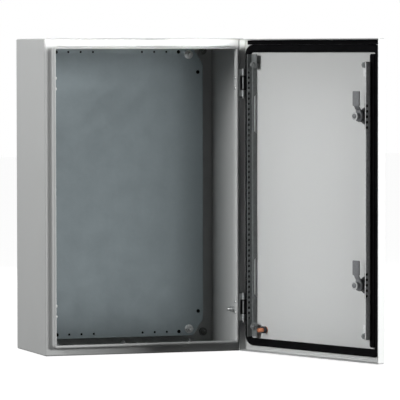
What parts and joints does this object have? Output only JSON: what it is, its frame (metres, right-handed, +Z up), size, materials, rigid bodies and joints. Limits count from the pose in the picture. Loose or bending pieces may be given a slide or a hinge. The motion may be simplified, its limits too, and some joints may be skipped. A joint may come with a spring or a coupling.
{
  "type": "wall enclosure",
  "caption": "Wall-mounting sheet steel enclosure with a gasketed hinged door, quarter-turn cam locks, perforated door rails and a removable mounting plate.",
  "frame": {"origin": "centre of the wall-fixing hole pattern on the back face", "axes": "+X to the right seen from the front, +Y into the wall, +Z up"},
  "size_m": [0.5394, 0.5725, 0.6],
  "materials": {
    "paint": "light grey powder coat, fine texture, satin",
    "galvanised": "galvanised sheet, dull blue-grey",
    "zinc": "zinc-plated steel",
    "cast_zinc": "dull dark cast zinc",
    "dark_steel": "dark passivated steel",
    "copper": "copper-plated steel",
    "black_plastic": "matt black",
    "rubber": "black foamed seal"
  },
  "bodies": {
    "cabinet": {"body_shell": "paint", "rear_panel": "paint", "plate_studs": "zinc", "mounting_plate": "galvanised", "plate_washers": "zinc", "plate_nuts": "zinc", "wall_seal_washers": "rubber", "gland_gasket": "rubber", "gland_plate": "paint", "gland_studs": "zinc", "gland_nuts": "zinc", "body_earth_stud": "zinc", "body_earth_nut": "zinc", "lip_hole_plugs": "zinc", "hinge_leaf_upper": "zinc", "hinge_leaf_lower": "zinc", "hinge_screws": "zinc", "hinge_pin_upper": "zinc", "hinge_pin_lower": "zinc"},
    "door": {"door_panel": "paint", "door_gasket": "rubber", "lock_side_seal": "rubber", "hinge_side_rail": "zinc", "lock_side_rail": "zinc", "rail_studs": "zinc", "rail_nuts": "zinc", "hinge_bracket_upper": "black_plastic", "hinge_bracket_lower": "black_plastic", "door_earth_stud": "copper", "door_earth_nut": "dark_steel", "lock_housing_upper": "black_plastic", "lock_housing_lower": "black_plastic", "lock_nut_upper": "black_plastic", "lock_nut_lower": "black_plastic"},
    "lock_upper": {"key_insert_upper": "zinc", "cam_upper": "cast_zinc", "cam_washer_upper": "zinc", "cam_bolt_upper": "zinc"},
    "lock_lower": {"key_insert_lower": "zinc", "cam_lower": "cast_zinc", "cam_washer_lower": "zinc", "cam_bolt_lower": "zinc"}
  },
  "joints": [
    {"name": "door_hinge", "type": "hinge", "parent": "cabinet", "child": "door", "pos_m": [0.194, -0.201, 0], "axis": [0, 0, 1], "range_deg": [-110.5, 19.5]},
    {"name": "upper_lock_turn", "type": "hinge", "parent": "door", "child": "lock_upper", "pos_m": [0.32245, -0.51885, 0.156], "axis": [0.9367, 0.3502, 0], "range_deg": [0, 90]},
    {"name": "lower_lock_turn", "type": "hinge", "parent": "door", "child": "lock_lower", "pos_m": [0.32245, -0.51885, -0.156], "axis": [0.9367, 0.3502, 0], "range_deg": [0, 90]}
  ]
}
